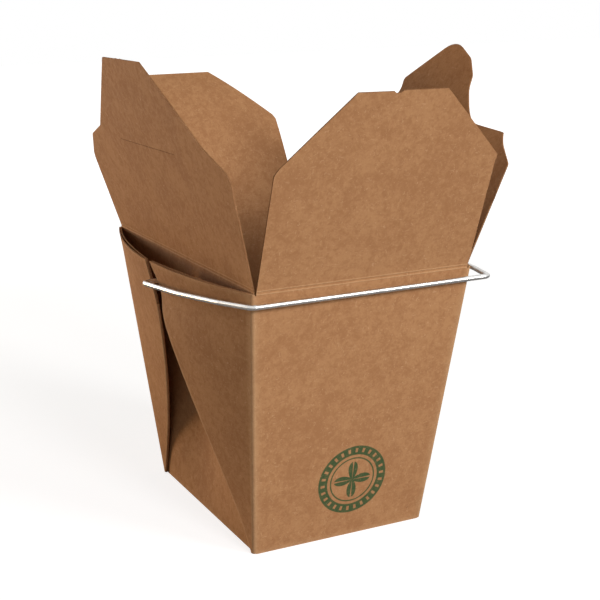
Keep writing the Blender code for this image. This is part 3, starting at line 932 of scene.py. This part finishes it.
frontPanelLean = math.degrees(math.atan((pail["rimDepth"] - pail["baseDepth"]) / 2 / pail["height"]))
endPanelLean = math.degrees(math.atan((pail["rimWidth"] - pail["baseWidth"]) / 2 / pail["height"]))
creaseStrip("frontCrease", flap["front"]["footHalf"], (0, -halfRimY, pail["height"]), 180,
            frontPanelLean, flap["front"]["lean"], 0.0, flap["front"]["twist"])
creaseStrip("backCrease", flap["back"]["footHalf"], (0, halfRimY, pail["height"]), 0,
            frontPanelLean, flap["back"]["lean"])
creaseStrip("leftCrease", flap["left"]["footHalf"], (-halfRimX, 0, sideCrease), 90,
            endPanelLean, flap["left"]["lean"], crease["sideFlare"], flap["left"]["twist"])
creaseStrip("rightCrease", flap["right"]["footHalf"], (halfRimX, 0, sideCrease), 270,
            endPanelLean, flap["right"]["lean"], crease["sideFlare"], flap["right"]["twist"])
print("creases scored")


handle = {
    "wire": 1.8 * mm,
    "shift": 2.4 * mm,
    "armClearance": 1.8 * mm,
    "barClearance": 1.5 * mm,
    "barRise": 4.2 * mm,
    "hookClearance": 0.35 * mm,
    "hookLength": 4.2 * mm,
    "bend": 2.6 * mm,
    "hookBend": 1.625 * mm,
    "bendSteps": 12,
    "wireSides": 20,
    "armBends": (0.42, 0.76),
    "armRound": 30.0 * mm,
}


# the wire's corners about its pivot axis, and the bend radius at each
def handleCorners():
    pivotZ = pail["height"] - pail["pivotDrop"]
    wire, board = handle["wire"], pail["board"]
    reach = math.hypot(halfRimY, pail["pivotDrop"]) + board / 2 + handle["barClearance"] / 2 + wire / 2
    barY = -math.sqrt(reach ** 2 - handle["barRise"] ** 2)
    hookFoot = halfWidth(pivotZ - handle["hookLength"] - wire / 2)
    hookX = hookFoot - board / 2 - handle["hookClearance"] - handle["shift"] - wire / 2
    outside = 2 * pail["plyPitch"] + board / 2 + wire / 2 + handle["shift"]
    share = pivotZ / pail["height"]
    bow = pail["bulge"] * share * (1 + pail["frontBelly"] * (1 - share))
    pivotAt = Vector((-halfWidth(pivotZ) - outside - bow - handle["armClearance"], 0, 0))
    barAt = Vector((-halfWidth(pivotZ + handle["barRise"]) - outside, barY, handle["barRise"]))
    arm = [pivotAt.lerp(barAt, s) - Vector((bow * s * (1 - s), 0, 0)) for s in handle["armBends"]]
    left = [Vector((-hookX, 0, -handle["hookLength"])), Vector((-hookX, 0, 0)), pivotAt, *arm, barAt]
    bend, armRound = handle["bend"], handle["armRound"]
    radii = [0.0, handle["hookBend"], bend, armRound, armRound, bend]
    right = [Vector((-p.x, p.y, p.z)) for p in left[::-1]]
    return left + right, radii + radii[::-1]


# rounds a path's corners by its own radii and runs wire along it
def drawnWireTree():
    tree, given, result = startGroup(
        "drawnWire",
        [("Path", "NodeSocketGeometry", None), ("Wire Radius", "NodeSocketFloat", 0.0009),
         ("Finish", "NodeSocketMaterial", None)],
        [("Wire", "NodeSocketGeometry")], "GeometryNodeTree")
    bends = newNode(tree, "GeometryNodeInputNamedAttribute", data_type="FLOAT")
    bends.inputs["Name"].default_value = "bendRadius"
    fillet = newNode(tree, "GeometryNodeFilletCurve")
    if "Mode" in fillet.inputs:
        fillet.inputs["Mode"].default_value = "Poly"
    else:
        fillet.mode = "POLY"
    line = newNode(tree, "GeometryNodeMeshToCurve")
    feed(tree, line.inputs[0], given.outputs["Path"])
    feed(tree, fillet.inputs["Curve"], line.outputs[0])
    feed(tree, fillet.inputs["Radius"], bends.outputs[0])
    feed(tree, fillet.inputs["Count"], handle["bendSteps"])
    feed(tree, fillet.inputs["Limit Radius"], True)
    ring = newNode(tree, "GeometryNodeCurvePrimitiveCircle")
    feed(tree, ring.inputs["Resolution"], handle["wireSides"])
    feed(tree, ring.inputs["Radius"], given.outputs["Wire Radius"])
    sweep = newNode(tree, "GeometryNodeCurveToMesh")
    feed(tree, sweep.inputs["Curve"], fillet.outputs[0])
    feed(tree, sweep.inputs["Profile Curve"], ring.outputs[0])
    feed(tree, sweep.inputs["Fill Caps"], True)
    finish = newNode(tree, "GeometryNodeSetMaterial")
    whole = newNode(tree, "GeometryNodeRealizeInstances")
    feed(tree, whole.inputs[0], sweep.outputs[0])
    feed(tree, finish.inputs["Geometry"], whole.outputs[0])
    feed(tree, finish.inputs["Material"], given.outputs["Finish"])
    feed(tree, result.inputs[0], finish.outputs[0])
    return tree


def bendHandle():
    corners, radii = handleCorners()
    mesh = bpy.data.meshes.new("handlePath")
    mesh.from_pydata(corners, [(i, i + 1) for i in range(len(corners) - 1)], [])
    bendRadius = mesh.attributes.new("bendRadius", "FLOAT", "POINT")
    bendRadius.data.foreach_set("value", radii)
    path = addPiece("wireHandle", mesh)
    path.location = (handle["shift"], 0, pail["height"] - pail["pivotDrop"])
    wire = runNodes(path, drawnWireTree(), {"Wire Radius": handle["wire"] / 2, "Finish": brightWire})
    smoothShade(wire, 50)
    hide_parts("wire_handle")
    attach(wire, "handle")
    return wire


bendHandle()
print("handle bent")


room = {
    "floorHalf": 2.5,
    "floorTint": (shade(176, 177, 180), shade(170, 171, 174)),
    "floorGrain": 9.0,
    "floorLift": (0.80, 1.1),       # white added to what the camera sees of the floor, near and far
    "floorFade": (0.35, 0.9),       # where it goes from the one to the other, in metres from the box
    "sky": 0.09,
    "skyTint": (1.0, 0.87, 0.62, 1.0),      # as it falls on the board
    "lamps": {
        "rightKey": {"place": (0.80, -1.40, 0.74), "aim": (0, 0, 0.09), "size": 0.5, "power": 14.2,
                     "colour": (1.0, 0.99, 0.97)},
        "frontKey": {"place": (0.15, -1.60, 0.74), "aim": (0, 0, 0.09), "size": 0.45, "power": 13.4,
                     "colour": (1.0, 0.98, 0.98)},
        "top": {"place": (0.30, -0.70, 1.30), "aim": (0, 0, 0.09), "size": 0.8, "power": 1.4,
                "colour": (1.0, 1.0, 0.96)},
        "backFill": {"place": (-0.55, 0.85, 0.22), "aim": (0, 0, 0.08), "size": 0.35, "power": 3.3,
                     "colour": (1.0, 0.96, 0.96)},
        "lowFill": {"place": (-0.70, 0.90, 0.08), "aim": (0, 0, 0.08), "size": 0.30, "power": 5.3,
                    "colour": (1.0, 0.68, 0.32)},
    },
}


def floorMaterial():
    material, tree, shader = startMaterial("pale floor")
    place = newNode(tree, "ShaderNodeTexCoord")
    grain = noiseAt(tree, place.outputs["Object"], room["floorGrain"])
    feed(tree, shader.inputs["Base Color"], mixColour(tree, grain, *room["floorTint"]))
    shader.inputs["Roughness"].default_value = 0.9
    shader.inputs["Specular IOR Level"].default_value = 0.1
    shader.inputs["Emission Color"].default_value = (1, 1, 1, 1)
    away = doVector(tree, "LENGTH", place.outputs["Object"])
    lift = spread(tree, away, *room["floorFade"], *room["floorLift"])
    path = newNode(tree, "ShaderNodeLightPath")
    glow = doMath(tree, "MULTIPLY", path.outputs["Is Camera Ray"], lift)
    feed(tree, shader.inputs["Emission Strength"], glow)
    return material


def setRoom():
    half = room["floorHalf"]
    mesh = bpy.data.meshes.new("floor")
    corners = [(-half, -half, 0), (half, -half, 0), (half, half, 0), (-half, half, 0)]
    mesh.from_pydata(corners, [], [(0, 1, 2, 3)])
    mesh.materials.append(floorMaterial())
    addPiece("floor", mesh)
    world = bpy.data.worlds.new("room")
    scene.world = world
    world.use_nodes = True
    tree = world.node_tree
    sky = tree.nodes["Background"]
    path = newNode(tree, "ShaderNodeLightPath")
    seen = doMath(tree, "MAXIMUM", path.outputs["Is Camera Ray"], path.outputs["Is Glossy Ray"])
    seen = doMath(tree, "MAXIMUM", seen, path.outputs["Is Transmission Ray"])
    feed(tree, sky.inputs["Color"], mixColour(tree, seen, room["skyTint"], (1, 1, 1, 1)))
    feed(tree, sky.inputs["Strength"], spread(tree, seen, 0.0, 1.0, room["sky"], 1.0, smooth=False))
    for name, lamp in room["lamps"].items():
        light = bpy.data.lights.new(name, "AREA")
        light.shape = "DISK"
        light.size = lamp["size"]
        light.energy = lamp["power"]
        light.color = lamp["colour"]
        holder = bpy.data.objects.new(name, light)
        scene.collection.objects.link(holder)
        holder.location = lamp["place"]
        facing = Vector(lamp["aim"]) - Vector(lamp["place"])
        holder.rotation_euler = facing.to_track_quat("-Z", "Y").to_euler()
        holder.visible_camera = False


camera = {
    "place": (-0.1981, -0.4233, 0.1955),
    "aim": (0.0081, 0.0010, 0.0758),
    "roll": -1.0,
    "lens": 77.7,
}


def setCamera():
    view = bpy.data.cameras.new("camera")
    view.lens = camera["lens"]
    view.sensor_width = 36.0
    view.clip_start = 0.05
    holder = bpy.data.objects.new("camera", view)
    scene.collection.objects.link(holder)
    place, aim = Vector(camera["place"]), Vector(camera["aim"])
    roll = Matrix.Rotation(math.radians(camera["roll"]), 3, "Z")
    turn = (aim - place).to_track_quat("-Z", "Y").to_matrix() @ roll
    holder.matrix_world = Matrix.Translation(place) @ turn.to_4x4()
    scene.camera = holder


setRoom()
setCamera()
scene.view_settings.view_transform = "Standard"

bpy.context.view_layer.update()
print("room set")
